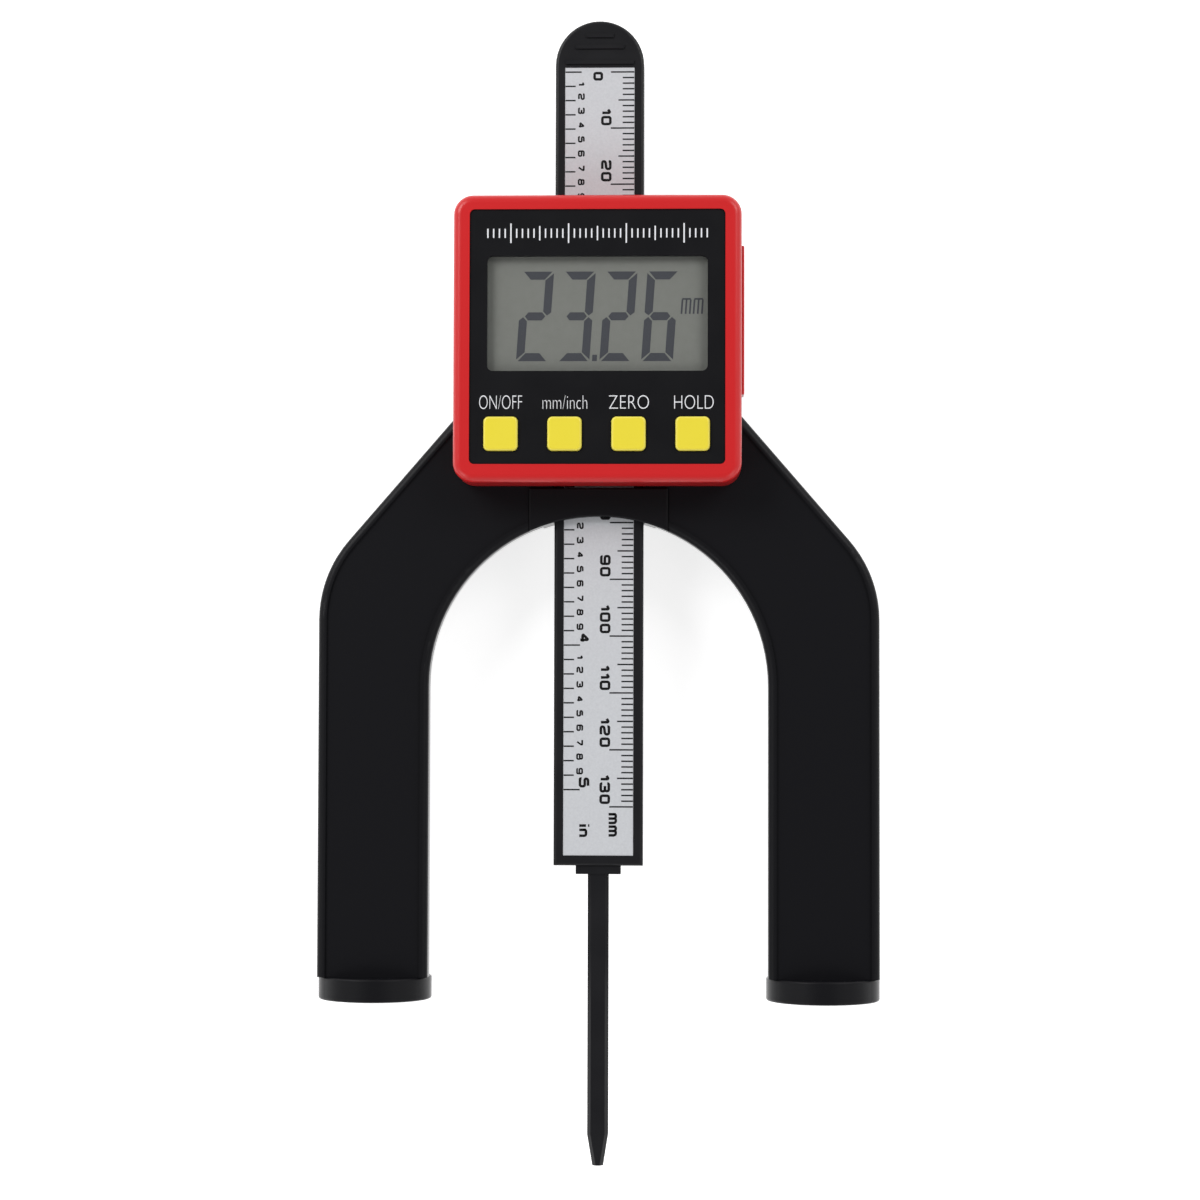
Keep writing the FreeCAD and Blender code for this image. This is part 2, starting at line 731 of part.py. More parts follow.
def guide_bridge():
    """The bar that closes the channel over the beam, with its lower side on the curve of the arch."""
    body = make_body("guide_bridge")
    bar = rectangle(
        body, "XY", 0, "(arch_y + bridge_top_y) / 2", "bridge_z", "bridge_width", "bridge_top_y - arch_y"
    )
    pad(body, bar, "bridge_thickness")
    pocket(body, arch(body, "bridge_z + bridge_thickness", "arch_radius", "arch_y - sole_y"), "bridge_thickness")
    chamfer(body, "bridge_edge", flat_at("bridge_z + bridge_thickness"))
    pegs = circles(body, "XY", 0, "bridge_y", "bridge_z - bridge_peg_length", "bridge_peg / 2", BRIDGE_PEGS)
    pad(body, pegs, "bridge_peg_length")
    return body


def friction_leaf():
    """A bowed bronze leaf beside the beam, which keeps it from sliding down by itself."""
    body = make_body("friction_leaf")
    wall = "-(channel_width / 2 + leaf_bow + leaf_thickness)"
    crest = "-(beam_width / 2 + side_play / 2)"
    corners = [
        (wall, "-leaf_length / 2"),
        (f"{wall} + leaf_thickness", "-leaf_length / 2"),
        (crest, "-leaf_length / 8"),
        (crest, "leaf_length / 8"),
        (f"{wall} + leaf_thickness", "leaf_length / 2"),
        (wall, "leaf_length / 2"),
        (f"{crest} - leaf_thickness", "leaf_length / 8"),
        (f"{crest} - leaf_thickness", "-leaf_length / 8"),
    ]
    low = "channel_z + (beam_thickness - leaf_height) / 2"
    pad(body, polygon(body, "XY", 0, "case_y", low, corners), "leaf_height")
    return body


# Display case
def display_case():
    """The red case: a rounded front with a sunk seat for the face plate, four side walls and four posts."""
    body = make_body("display_case")
    pad(body, rectangle(body, "XY", 0, "case_y", "face_z", "case_width", "case_height"), "case_depth")
    fillet(body, "case_corner", upright_near(*corners_of("0", "case_y", "case_width", "case_height")))
    fillet(body, "case_front_edge", flat_at("front_z"))
    inner_w = "case_width - 2 * case_wall"
    inner_h = "case_height - 2 * case_wall"
    pocket(body, rectangle(body, "XY", 0, "case_y", "inner_z", inner_w, inner_h), "inner_z - face_z")
    fillet(body, "case_corner - case_wall", upright_near(*corners_of("0", "case_y", inner_w, inner_h)))
    seat = rectangle(body, "XY", 0, "face_y", "front_z", "face_width", "face_height")
    pocket(body, seat, "front_z - face_back_z")
    fillet(body, "face_corner", upright_near(*corners_of("0", "face_y", "face_width", "face_height")))
    open_w = "face_width - 2 * face_ledge"
    open_h = "face_height - 2 * face_ledge"
    pocket(body, rectangle(body, "XY", 0, "face_y", "face_back_z", open_w, open_h), "face_back_z - inner_z")
    for x, y in CASE_POSTS:
        pad(body, rectangle(body, "XY", x, y, "face_z", "post_size", "post_size"), "post_height")
    tapped = "screw_shank / 2 + hole_play / 2"
    tapped_end = "back_z + case_screw_sunk + case_screw_length + hole_play"
    pocket(body, circles(body, "XY", 0, 0, tapped_end, tapped, CASE_SCREWS), "case_screw_length")
    door_way = rectangle(
        body,
        "YZ",
        "case_width / 2",
        "drawer_y",
        "drawer_z + (door_height + door_play) / 2 - door_lift / 2",
        "door_length + 2 * door_play",
        "door_height + door_play + door_lift",
    )
    pocket(body, door_way, "case_wall + door_play")
    return body


BUTTONS = {
    "button_power": "button_shift - 1.5 * button_pitch",
    "button_unit": "button_shift - 0.5 * button_pitch",
    "button_zero": "button_shift + 0.5 * button_pitch",
    "button_hold": "button_shift + 1.5 * button_pitch",
}


def face_plate():
    """The black plate in the front of the case, cut out for the window and the four buttons."""
    body = make_body("face_plate")
    width = "face_width - hole_play"
    height = "face_height - hole_play"
    pad(body, rectangle(body, "XY", 0, "face_y", "face_back_z", width, height), "face_thickness")
    fillet(body, "face_corner", upright_near(*corners_of("0", "face_y", width, height)))
    pocket(body, rectangle(body, "XY", 0, "window_y", "face_top_z", "window_width", "window_height"), "face_thickness")
    fillet(body, "window_corner", upright_near(*corners_of("0", "window_y", "window_width", "window_height")))
    gap = "button_size + 2 * button_play"
    for x in BUTTONS.values():
        pocket(body, rectangle(body, "XY", x, "button_y", "face_top_z", gap, gap), "face_thickness")
        fillet(body, "button_corner + button_play", upright_near(*corners_of(x, "button_y", gap, gap)))
    return body


def display_window():
    """The clear window, which lies on the display glass."""
    body = make_body("display_window")
    width = "window_width - hole_play"
    height = "window_height - hole_play"
    pad(body, rectangle(body, "XY", 0, "window_y", "window_back_z", width, height), "window_thickness")
    fillet(body, "window_corner", upright_near(*corners_of("0", "window_y", width, height)))
    return body


def lcd_holder():
    """The frame that holds the display glass against the window, with a slot for the contact strip."""
    body = make_body("lcd_holder")
    tall = "lcd_height + 2 * holder_wall"
    pad(body, rectangle(body, "XY", 0, "lcd_y", "holder_z", "holder_width", tall), "holder_depth")
    glass = rectangle(body, "XY", 0, "lcd_y", "inner_z", "lcd_width + hole_play", "lcd_height + hole_play")
    pocket(body, glass, "inner_z - lcd_back_z")
    light = rectangle(
        body, "XY", 0, "lcd_y", "lcd_back_z", "lcd_width - 2 * holder_lip", "lcd_height - 2 * holder_lip"
    )
    pocket(body, light, "lcd_back_z - holder_z")
    slot = rectangle(body, "XY", 0, "zebra_y", "lcd_back_z", "zebra_length + hole_play", "zebra_width + hole_play")
    pocket(body, slot, "lcd_back_z - holder_z")
    return body


def button(name, x):
    """A square button with a flange behind the plate and a stem down to its switch."""
    body = make_body(name)
    cap = rectangle(body, "XY", x, "button_y", "flange_top_z", "button_size", "button_size")
    pad(body, cap, "face_top_z + button_raise - flange_top_z")
    fillet(body, "button_corner", upright_near(*corners_of(x, "button_y", "button_size", "button_size")))
    fillet(body, "button_edge", flat_at("face_top_z + button_raise"))
    flange_low = "flange_top_z - button_flange_thickness"
    flange = rectangle(body, "XY", x, "button_y", flange_low, "button_flange", "button_flange")
    pad(body, flange, "button_flange_thickness")
    stem = circle(body, "XY", x, "button_y", "stem_z", "stem_diameter / 2")
    pad(body, stem, f"{flange_low} - stem_z")
    return body


def dome(x):
    """A snap dome on the board, under a button."""
    cone = doc.addObject("Part::Cone", "dome")
    bind(
        cone,
        Radius1="dome_diameter / 2",
        Radius2="dome_diameter / 3",
        Height="dome_height",
        Placement__Base__x=x,
        Placement__Base__y="button_y",
        Placement__Base__z="board_top_z",
    )
    return cone


def battery_drawer():
    """The door in the side of the case, moulded in one with the tray that holds the cell."""
    body = make_body("battery_drawer")
    door = rectangle(
        body, "YZ", "tray_outer_x", "drawer_y", "drawer_z + door_height / 2", "door_length", "door_height"
    )
    pad(body, door, "case_wall + door_proud")
    outer = number("case_width / 2 + door_proud")
    fillet(body, "door_proud / 2", lambda edge: edge.BoundBox.XMin > outer - 0.01)
    tray = rectangle(
        body,
        "XY",
        "(tray_inner_x + tray_outer_x) / 2",
        "tray_y",
        "drawer_z",
        "tray_outer_x - tray_inner_x",
        "tray_width",
    )
    pad(body, tray, "tray_height")
    well = circle(body, "XY", "cell_x", "tray_y", "drawer_z + tray_height", "cell_diameter / 2 + cell_play")
    pocket(body, well, "cell_height")
    slot = rectangle(body, "XY", "tray_inner_x", "tray_y", "cell_z", "2 * (cell_x + tray_slot - tray_inner_x)", "tray_slot")
    pocket(body, slot, "tray_floor")
    return body


def bent_strip(name, x, corners):
    """A sheet metal strip of the battery contacts' width, drawn from the side."""
    body = make_body(name)
    side_view = polygon(body, "XZ", x, "tray_y + contact_width / 2", "board_top_z", corners)
    pad(body, side_view, "contact_width")
    return body


def contact_under_cell():
    """The leaf that rises from the board to the underside of the cell."""
    rise = "cell_z - board_top_z - contact_thickness - button_play / 2"
    corners = [
        ("-contact_width", "0"),
        ("-contact_width / 5", "0"),
        ("contact_width * 0.6", rise),
        ("contact_width", rise),
        ("contact_width", f"{rise} + contact_thickness"),
        ("contact_width * 0.55", f"{rise} + contact_thickness"),
        ("-contact_width / 4", "contact_thickness"),
        ("-contact_width", "contact_thickness"),
    ]
    return bent_strip("contact_under_cell", "cell_x", corners)


def contact_over_cell():
    """The bracket that stands on the board and reaches over the cell."""
    top = "cell_z + cell_height + button_play / 2 + contact_thickness - board_top_z"
    corners = [
        ("0", "0"),
        ("contact_thickness", "0"),
        ("contact_thickness", f"{top} - contact_thickness"),
        ("contact_reach", f"{top} - contact_thickness"),
        ("contact_reach", top),
        ("0", top),
    ]
    return bent_strip("contact_over_cell", "tray_inner_x - 4 * contact_thickness", corners)


# Beam and probe
def beam():
    """The moulded beam with its round, ridged head and the bed of the scale."""
    body = make_body("beam")
    head_y = "beam_head_y - beam_width / 2"
    bar = rectangle(
        body, "XY", 0, f"(beam_end_y + {head_y}) / 2", "beam_back_z", "beam_width", f"{head_y} - beam_end_y"
    )
    pad(body, bar, "beam_thickness")
    pad(body, circle(body, "XY", 0, head_y, "beam_back_z", "beam_width / 2"), "beam_thickness")
    fillet(body, "beam_edge", flat_at("beam_top_z"))
    bed_depth = "plate_sunk + plate_thickness + stator_thickness"
    bed = rectangle(
        body,
        "XY",
        0,
        "plate_top_y - plate_length / 2",
        "beam_top_z",
        "plate_width + hole_play",
        "plate_length + hole_play",
    )
    pocket(body, bed, bed_depth)
    ridges = (("ridge_first", "ridge_long"), ("ridge_second", "ridge_middle"), ("ridge_third", "ridge_short"))
    for rise, length in ridges:
        level = f"plate_top_y + {rise}"
        pad(body, rectangle(body, "XY", 0, level, "beam_top_z", length, "ridge_width"), "ridge_height")
    tang = rectangle(
        body, "XZ", 0, "beam_end_y", "probe_z", "tang_width + hole_play", "tang_depth + hole_play"
    )
    pocket(body, tang, "tang_length + hole_play")
    return body


def probe():
    """The flat measuring rod with its collar, its tang in the beam and its tapered tip."""
    body = make_body("probe")
    pad(body, rectangle(body, "XZ", 0, "beam_end_y", "probe_z", "collar_width", "collar_depth"), "collar_height")
    root = "beam_end_y - collar_height"
    taper = "tip_y + taper_length"
    pad(body, rectangle(body, "XZ", 0, root, "probe_z", "probe_width", "probe_depth"), f"{root} - ({taper})")
    wide = rectangle(body, "XZ", 0, taper, "probe_z", "probe_width", "probe_depth")
    narrow = rectangle(body, "XZ", 0, "tip_y", "probe_z", "tip_width", "tip_depth")
    point = body.newObject("PartDesign::AdditiveLoft", "Point")
    point.Profile = wide
    point.Sections = [narrow]
    doc.recompute()
    reach = number("taper_length") * 0.9
    below = number(root) + 0.01
    chamfer(body, "probe_edge", lambda edge: edge.BoundBox.YLength > reach and edge.BoundBox.YMax < below)
    tang = rectangle(body, "XZ", 0, "beam_end_y + tang_length", "probe_z", "tang_width", "tang_depth")
    pad(body, tang, "tang_length")
    return body


pieces = [
    frame_front(),
    frame_back(),
    group("frame_screws", [cross_screw(x, y, "back_z", "frame_screw_length") for x, y in FRAME_SCREWS]),
    group("case_screws", [cross_screw(x, y, "back_z + case_screw_sunk", "case_screw_length") for x, y in CASE_SCREWS]),
    guide_bridge(),
    friction_leaf(),
    display_case(),
    face_plate(),
    display_window(),
    block("lcd_glass", "0", "lcd_y", "lcd_back_z", "lcd_width", "lcd_height", "lcd_thickness"),
    lcd_holder(),
    block("zebra_strip", "0", "zebra_y", "board_top_z", "zebra_length", "zebra_width", "lcd_back_z - board_top_z"),
    block("circuit_board", "0", "board_y", "board_z", "board_width", "board_height", "board_thickness"),
    block("controller_chip", "-chip_x", "case_y", "board_top_z", "chip_size", "chip_size", "chip_height"),
    group("dome_switches", [dome(x) for x in BUTTONS.values()]),
    battery_drawer(),
    contact_under_cell(),
    contact_over_cell(),
    beam(),
    block(
        "scale_plate",
        "0",
        "plate_top_y - plate_length / 2",
        "beam_top_z - plate_sunk - plate_thickness",
        "plate_width",
        "plate_length",
        "plate_thickness",
    ),
    block(
        "stator_strip",
        "0",
        "plate_top_y - plate_length / 2",
        "beam_top_z - plate_sunk - plate_thickness - stator_thickness",
        "plate_width",
        "plate_length",
        "stator_thickness",
    ),
    probe(),
]
for cap_name, magnet_name, way in (
    ("foot_cap_left", "foot_magnet_left", -1),
    ("foot_cap_right", "foot_magnet_right", 1),
):
    pieces += [foot_cap(cap_name, way), foot_magnet(magnet_name, way)]
for button_name, button_x in BUTTONS.items():
    pieces.append(button(button_name, button_x))
coin_cell = doc.addObject("Part::Cylinder", "coin_cell")
coin_cell.Label = "coin_cell"
bind(
    coin_cell,
    Radius="cell_diameter / 2",
    Height="cell_height",
    Placement__Base__x="cell_x",
    Placement__Base__y="tray_y",
    Placement__Base__z="cell_z",
)
pieces.append(coin_cell)
doc.recompute()

for item in doc.Objects:
    if {"Invalid", "Error"} & set(item.State):
        raise ValueError(f"{item.Label} failed: {item.State}")
for piece in pieces:
    if piece.Shape.isNull() or not piece.Shape.isValid():
        raise ValueError(f"{piece.Label} has no valid shape")
for piece in pieces:
    piece.Shape.exportStep(f"parts/{piece.Label}.step")
    print(piece.Label, len(piece.Shape.Solids), round(piece.Shape.Volume, 1))
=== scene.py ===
"""Looks of the digital depth gauge: finishes of its solids, the print on scale and face plate, the digits of
the display, a pale floor, soft studio light and the camera over the gauge, which lies on its back."""
import math

import bmesh
import bpy
from mathutils import Matrix, Vector


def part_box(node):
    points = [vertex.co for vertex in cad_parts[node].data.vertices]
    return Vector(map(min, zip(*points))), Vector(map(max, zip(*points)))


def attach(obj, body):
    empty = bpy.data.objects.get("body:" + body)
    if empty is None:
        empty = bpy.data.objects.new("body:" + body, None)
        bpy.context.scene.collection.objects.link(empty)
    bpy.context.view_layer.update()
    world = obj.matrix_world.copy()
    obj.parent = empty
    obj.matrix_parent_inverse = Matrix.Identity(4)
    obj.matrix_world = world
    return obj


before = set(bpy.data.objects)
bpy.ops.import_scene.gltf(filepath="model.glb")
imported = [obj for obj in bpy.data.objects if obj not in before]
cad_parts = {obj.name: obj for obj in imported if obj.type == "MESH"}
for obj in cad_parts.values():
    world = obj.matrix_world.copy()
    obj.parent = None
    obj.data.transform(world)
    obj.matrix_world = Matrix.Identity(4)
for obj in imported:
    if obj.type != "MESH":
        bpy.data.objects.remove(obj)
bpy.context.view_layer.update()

MM = 0.001
FRAME_BODY = "frame"
BEAM_BODY = "beam"


# Finishes
def linear(hex_code):
    """An sRGB hex colour as linear red, green, blue and alpha."""
    shares = [int(hex_code[start:start + 2], 16) / 255 for start in (0, 2, 4)]
    return (*[s / 12.92 if s <= 0.04045 else ((s + 0.055) / 1.055) ** 2.4 for s in shares], 1)


def add(tree, kind, inputs=None, **settings):
    """One more node with its settings, and its inputs given as values or as the sockets that feed them."""
    made = tree.nodes.new(kind)
    for name, value in settings.items():
        setattr(made, name, value)
    for name, value in (inputs or {}).items():
        if isinstance(value, bpy.types.NodeSocket):
            tree.links.new(value, made.inputs[name])
        else:
            made.inputs[name].default_value = value
    return made


def start_material(name, colour, roughness, **sockets):
    """A material with one shader, its output and the object's own coordinates."""
    material = bpy.data.materials.new(name)
    material.use_nodes = True
    tree = material.node_tree
    tree.nodes.clear()
    values = {"Base Color": linear(colour), "Roughness": roughness}
    values.update({socket.replace("_", " "): value for socket, value in sockets.items()})
    shader = add(tree, "ShaderNodeBsdfPrincipled", values)
    add(tree, "ShaderNodeOutputMaterial", {"Surface": shader.outputs["BSDF"]})
    place = add(tree, "ShaderNodeTexCoord").outputs["Object"]
    return material, tree, shader, place


def blend_colours(tree, shader, share, first, second):
    """Colours the surface from the first hex colour to the second, by a share that runs from 0 to 1."""
    tone = add(tree, "ShaderNodeMix", {
        "Factor": share, "A": linear(first), "B": linear(second),
    }, data_type="RGBA")
    tree.links.new(tone.outputs["Result"], shader.inputs["Base Color"])


# Real grain and tool marks are finer than the render can show, so every grain is drawn coarser than life
SLOW_CHANGE_MM = 6
FAINTEST_NOISE = 0.3
STRONGEST_NOISE = 0.7


def grain(tree, shader, place, size_mm, depth_mm, roughness=None):
    """Bump of grains of one size and depth, with a slow change of roughness between two values."""
    fine = add(tree, "ShaderNodeTexNoise", {"Vector": place, "Scale": 1 / (size_mm * MM), "Detail": 3.0})
    relief = {"Height": fine.outputs["Fac"], "Strength": 1.0, "Distance": depth_mm * MM}
    bump = add(tree, "ShaderNodeBump", relief)
    tree.links.new(bump.outputs["Normal"], shader.inputs["Normal"])
    if roughness:
        smoothest, roughest = roughness
        clouds = {"Vector": place, "Scale": 1 / (SLOW_CHANGE_MM * MM), "Detail": 4.0}
        slow = add(tree, "ShaderNodeTexNoise", clouds)
        spread = add(tree, "ShaderNodeMapRange", {
            "Value": slow.outputs["Fac"], "From Min": FAINTEST_NOISE, "From Max": STRONGEST_NOISE,
            "To Min": smoothest, "To Max": roughest,
        })
        tree.links.new(spread.outputs["Result"], shader.inputs["Roughness"])


def share_between(tree, flat, upright):
    """A share that is 0 on faces as flat as one value or flatter, and 1 where they stand as upright as the
    other or more. Flatness is how far a face's normal points up or down, from 0 to 1."""
    facing = add(tree, "ShaderNodeNewGeometry").outputs["Normal"]
    rise = add(tree, "ShaderNodeSeparateXYZ", {"Vector": facing}).outputs["Z"]
    flatness = add(tree, "ShaderNodeMath", {0: rise}, operation="ABSOLUTE").outputs["Value"]
    share = add(tree, "ShaderNodeMapRange", {
        "Value": flatness, "From Min": upright, "From Max": flat, "To Min": 1.0, "To Max": 0.0,
    })
    return share.outputs["Result"]


PLASTIC_IOR = 1.5


def plastic(name, colour, roughness, size_mm, depth_mm, second=None, uneven=0.05, **sockets):
    """A moulded plastic with a fine grain, and maybe a second colour where its surface turns upright, which
    paints light and shade there: deeper on the red case's walls, paler on the buttons' edges.
    """
    material, tree, shader, place = start_material(name, colour, roughness, IOR=PLASTIC_IOR, **sockets)
    grain(tree, shader, place, size_mm, depth_mm, (roughness - uneven, roughness + uneven))
    # The second colour is painted light: painted shade on the case's walls, a painted highlight along the
    # buttons' edges.
    if second:
        painted_light_colour, flat, upright = second
        blend_colours(tree, shader, share_between(tree, flat, upright), colour, painted_light_colour)
    return material


def metal(name, colour, roughness, size_mm=0.15, depth_mm=0.002):
    """A turned, stamped or plated metal with fine tool marks."""
    material, tree, shader, place = start_material(name, colour, roughness, Metallic=1.0)
    grain(tree, shader, place, size_mm, depth_mm, (roughness - 0.06, roughness + 0.08))
    return material


def ink(name, colour):
    """Screen print: an opaque ink with a slightly uneven tone."""
    material, tree, shader, place = start_material(name, colour, 0.5, Specular_IOR_Level=0.25)
    grain(tree, shader, place, 0.2, 0.001)
    return material


RIM_DEPTH_MM = 0.2
SHELL_FACE_ROUGHNESS = 0.48
SHELL_RIM_ROUGHNESS = 0.4
SHELL_WALL_ROUGHNESS = 0.2


def shell_plastic():
    """Black ABS out of a spark-eroded mould: the face is grained, the raised rim is smoother and carries a
    painted highlight that makes it a little lighter, and the walls, which slid along polished steel, throw
    back the light that grazes them."""
    material, tree, shader, place = start_material(
        "moulded_black_abs", "0e0e12", SHELL_FACE_ROUGHNESS, IOR=PLASTIC_IOR, Specular_IOR_Level=0.16
    )
    grain(tree, shader, place, 0.3, 0.005)
    height = add(tree, "ShaderNodeSeparateXYZ", {"Vector": place}).outputs["Z"]
    rim_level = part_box("frame_front")[1].z - RIM_DEPTH_MM * MM
    on_rim = add(tree, "ShaderNodeMath", {0: height, 1: rim_level}, operation="GREATER_THAN")
    # Painted highlight: the rim is coloured a little lighter than the face, standing in for the light its
    # edge catches.
    blend_colours(tree, shader, on_rim.outputs["Value"], "0e0e12", "131316")
    face = add(tree, "ShaderNodeMapRange", {
        "Value": on_rim.outputs["Value"], "To Min": SHELL_FACE_ROUGHNESS, "To Max": SHELL_RIM_ROUGHNESS,
    })
    on_wall = share_between(tree, flat=0.6, upright=0.15)
    polish = add(tree, "ShaderNodeMapRange", {
        "Value": on_wall, "To Min": face.outputs["Result"], "To Max": SHELL_WALL_ROUGHNESS,
    })
    tree.links.new(polish.outputs["Result"], shader.inputs["Roughness"])
    return material


SPARKLE_MM = 0.35
MOTTLE_MM = 1.2


def scale_film():
    """Satin aluminium film, laminated on the beam: pale, with the fine sparkle of soft metal."""
    material, tree, shader, place = start_material("satin_aluminium_film", "c3c5c9", 0.4)
    sparkle = {"Vector": place, "Scale": 1 / (SPARKLE_MM * MM), "Detail": 5.0}
    fine = add(tree, "ShaderNodeTexNoise", sparkle)
    blend_colours(tree, shader, fine.outputs["Fac"], "c3c5c9", "d8dade")
    relief = {"Height": fine.outputs["Fac"], "Strength": 0.5, "Distance": 0.003 * MM}
    bump = add(tree, "ShaderNodeBump", relief)
    tree.links.new(bump.outputs["Normal"], shader.inputs["Normal"])
    return material


def display_backing():
    """Reflective liquid crystal panel behind its polariser: an even grey green with a faint fine mottle."""
    material, tree, shader, place = start_material(
        "liquid_crystal_panel", "80827c", 0.45, Specular_IOR_Level=0.3
    )
    mottle = {"Vector": place, "Scale": 1 / (MOTTLE_MM * MM), "Detail": 4.0}
    faint = add(tree, "ShaderNodeTexNoise", mottle)
    blend_colours(tree, shader, faint.outputs["Fac"], "80827c", "888a85")
    return material


FINISHES = {
    # Black ABS of the frame: a grained face inside a smoother rim with a painted highlight, and walls with a
    # grazing shine.
    "black_shell": shell_plastic(),
    # Glass-filled nylon of the beam: dull black, its moulded edges catch a thin light line.
    "black_beam": plastic("glass_filled_nylon", "161619", 0.4, 0.35, 0.003, Specular_IOR_Level=0.3),
    # Steel of the probe under a baked black coat: even, with a soft shine on the chamfers.
    "black_rod": plastic("black_coated_steel", "18181b", 0.36, 0.3, 0.002, Specular_IOR_Level=0.3),
    # Aluminium film of the scale: the palest part, soft and faintly sparkling.
    "silver_scale": scale_film(),
    # Red ABS of the display case: satin, with softly lit rounded edges, and painted shade that makes the
    # upright walls a deeper red.
    "red_case": plastic(
        "satin_red_abs", "d12023", 0.3, 1.0, 0.0003, second=("b81a1d", 0.4, 0.1), uneven=0.01
    ),
    # Printed polycarbonate overlay of the face plate: a fine matt black with a trace of blue.
    "black_face": plastic(
        "matt_polycarbonate_overlay", "111114", 0.45, 0.2, 0.002, Specular_IOR_Level=0.16
    ),
    # Clear acrylic window: nearly nothing but a faint gloss.
    "clear_window": plastic("clear_acrylic", "3a3c3c", 0.1, 3, 0.002, Alpha=0.05),
    # Liquid crystal panel: a flat grey green, on which the digits stand out.
    "display_glass": display_backing(),
    # Silicone rubber of the buttons: an even warm yellow, with a painted highlight in paler yellow along the
    # rounded edges.
    "yellow_button": plastic(
        "yellow_silicone_rubber", "f1df3d", 0.34, 0.4, 0.001, second=("f7e85e", 0.97, 0.88)
    ),
    # Zinc-plated steel of the screws: a bright grey with blurred reflections.
    "screw_steel": metal("zinc_plated_steel", "b8b8b4", 0.32),
    # Nickel plate of the magnets: a little warmer and glossier than the screws.
    "magnet_nickel": metal("nickel_plate", "c9c7c2", 0.22),
    # Stamped stainless steel can of the coin cell: a plain sheen with hardly a mark.
    "cell_steel": metal("stamped_stainless_can", "b4b4b2", 0.3, 0.4, 0.0006),
    # Rolled phosphor bronze of the leaf and contacts: a brown gold with fine rolling marks.
    "spring_bronze": metal("rolled_phosphor_bronze", "b98a55", 0.34),
    # Solder mask over glass fibre laminate: a glossy deep green.
    "board_green": plastic("green_solder_mask", "14532d", 0.3, 0.6, 0.004),
    # Moulded epoxy of the controller chip: dull, with a fine grain that greys the black.
    "chip_black": plastic("moulded_epoxy", "1b1b1c", 0.55, 0.15, 0.004),
    # Polystyrene of the display's holder: plain white with a little gloss.
    "holder_white": plastic("white_polystyrene", "dcdcd6", 0.45, 0.25, 0.004),
    # Layered silicone of the contact strip: a dull pale pink.
    "contact_rubber": plastic("zebra_silicone", "c9a7a0", 0.6, 0.25, 0.004),
}
INK_BLACK = ink("black_screen_print", "0b0b0d")
INK_WHITE = ink("white_screen_print", "eeeff3")
DARK_CRYSTAL = ink("darkened_crystal", "4a4c52")

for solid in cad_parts.values():
    packed_slot = solid.data.materials[0].name.split(".")[0]
    solid.data.materials[0] = FINISHES[packed_slot]


# Ways to make printed pieces
def new_piece(name, mesh, material, body):
    """A finished piece at the origin, which rides on a body."""
    mesh.name = name
    piece = bpy.data.objects.new(name, mesh)
    bpy.context.scene.collection.objects.link(piece)
    mesh.materials.clear()
    mesh.materials.append(material)
    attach(piece, body)


def mesh_of(shape, name):
    """A mesh from a bmesh that is finished."""
    mesh = bpy.data.meshes.new(name)
    shape.to_mesh(mesh)
    shape.free()
    return mesh


def mesh_drawn_by(lines):
    """The mesh that a curve or a text draws."""
    holder = bpy.data.objects.new("holder", lines)
    bpy.context.scene.collection.objects.link(holder)
    drawn = holder.evaluated_get(bpy.context.evaluated_depsgraph_get())
    mesh = bpy.data.meshes.new_from_object(drawn)
    bpy.data.objects.remove(holder)
    return mesh


def merged(meshes):
    """One mesh made of several."""
    shape = bmesh.new()
    for mesh in meshes:
        shape.from_mesh(mesh)
    return mesh_of(shape, "merged")


def plates(outlines, level, thickness):
    """Thin flat plates that stand on a level, each from the corners of its outline in millimetres."""
    shape = bmesh.new()
    for corners in outlines:
        face = shape.faces.new([shape.verts.new((x * MM, y * MM, level * MM)) for x, y in corners])
        raised = bmesh.ops.extrude_face_region(shape, geom=[face])["geom"]
        top = [part for part in raised if isinstance(part, bmesh.types.BMVert)]
        bmesh.ops.translate(shape, verts=top, vec=(0, 0, thickness * MM))
    bmesh.ops.recalc_face_normals(shape, faces=shape.faces)
    return mesh_of(shape, "plates")


def rectangle(left, right, low, high):
    """Corners of a rectangle along X and Y."""
    return [(left, low), (right, low), (right, high), (left, high)]


def graduated(step, ten, five, one):
    """How long a scale's line is: longest at every tenth step, less at every fifth."""
    return ten if step % 10 == 0 else five if step % 5 == 0 else one


def word_mesh(text, left, right, low, high, level, thickness):
    """Plain upright lettering, drawn a little thin and fitted into a box."""
    letters = bpy.data.curves.new("letters", "FONT")
    letters.body = text
    letters.extrude = 0.5
    letters.offset = -0.02
    mesh = mesh_drawn_by(letters)
    xs = [vertex.co.x for vertex in mesh.vertices]
    ys = [vertex.co.y for vertex in mesh.vertices]
    across = (right - left) / (max(xs) - min(xs))
    up = (high - low) / (max(ys) - min(ys))
    fit = Matrix.Diagonal((across * MM, up * MM, thickness * MM, 1))
    place = ((left - min(xs) * across) * MM, (low - min(ys) * up) * MM, (level + thickness / 2) * MM)
    mesh.transform(Matrix.Translation(place) @ fit)
    return mesh


